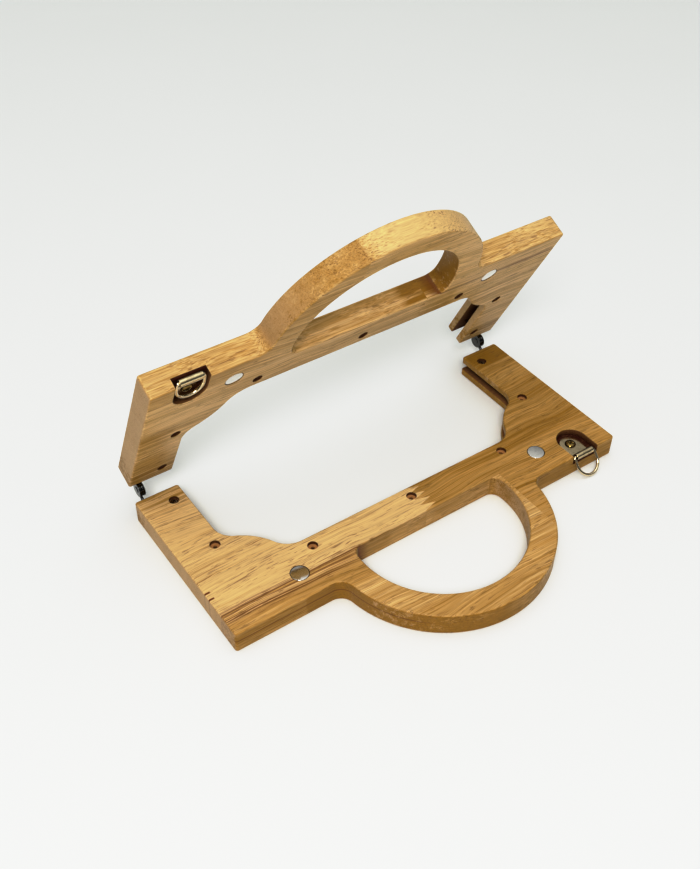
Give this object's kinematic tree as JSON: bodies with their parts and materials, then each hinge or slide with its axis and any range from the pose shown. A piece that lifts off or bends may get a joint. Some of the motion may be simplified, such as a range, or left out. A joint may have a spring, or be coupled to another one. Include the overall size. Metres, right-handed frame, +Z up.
{
  "type": "hinged wooden purse frame",
  "caption": "Two wooden U-shaped boards with D handles, hinged at the leg tips; a groove round the inner edge takes the bag fabric, magnets close it, strap rings on two corners.",
  "frame": {"origin": "middle of the footprint, on the table under the lower half's bar", "axes": "+X along the hinge line to the right, +Z up, -Y towards the lower half's handle"},
  "size_m": [0.26, 0.1868, 0.1794],
  "materials": {
    "wood": "satin clear lacquer",
    "nickel": "polished nickel plate",
    "steel": "plain steel",
    "brass": "yellow zinc plate"
  },
  "bodies": {
    "lower_half": {"lower_frame": "wood", "lower_magnet_left": "nickel", "lower_magnet_right": "nickel", "lower_tip_screw_left": "steel", "lower_tip_screw_right": "steel", "lower_hinge_eye_left": "nickel", "lower_hinge_eye_right": "nickel", "lower_ring_tab": "nickel", "lower_tab_screw": "brass", "hinge_rivet_left": "nickel", "hinge_rivet_right": "nickel"},
    "upper_half": {"upper_frame": "wood", "upper_magnet_left": "nickel", "upper_magnet_right": "nickel", "upper_tip_screw_left": "steel", "upper_tip_screw_right": "steel", "upper_hinge_eye_left": "nickel", "upper_hinge_eye_right": "nickel", "upper_ring_tab": "nickel", "upper_tab_screw": "brass"},
    "lower_ring": {"lower_strap_ring": "nickel"},
    "upper_ring": {"upper_strap_ring": "nickel"}
  },
  "joints": [
    {"name": "fold", "type": "hinge", "parent": "lower_half", "child": "upper_half", "pos_m": [0, 0.0848, 0.01415], "axis": [-1, 0, 0], "range_deg": [-63.4, 116.6]},
    {"name": "lower_ring_swing", "type": "hinge", "parent": "lower_half", "child": "lower_ring", "pos_m": [0.107, -0.0315, 0.0113], "axis": [1, 0, 0], "range_deg": [-221, 1]},
    {"name": "upper_ring_swing", "type": "hinge", "parent": "upper_half", "child": "upper_ring", "pos_m": [-0.107, 0.03528, 0.11942], "axis": [-1, 0, 0], "range_deg": [-2.2, 219.8]}
  ]
}
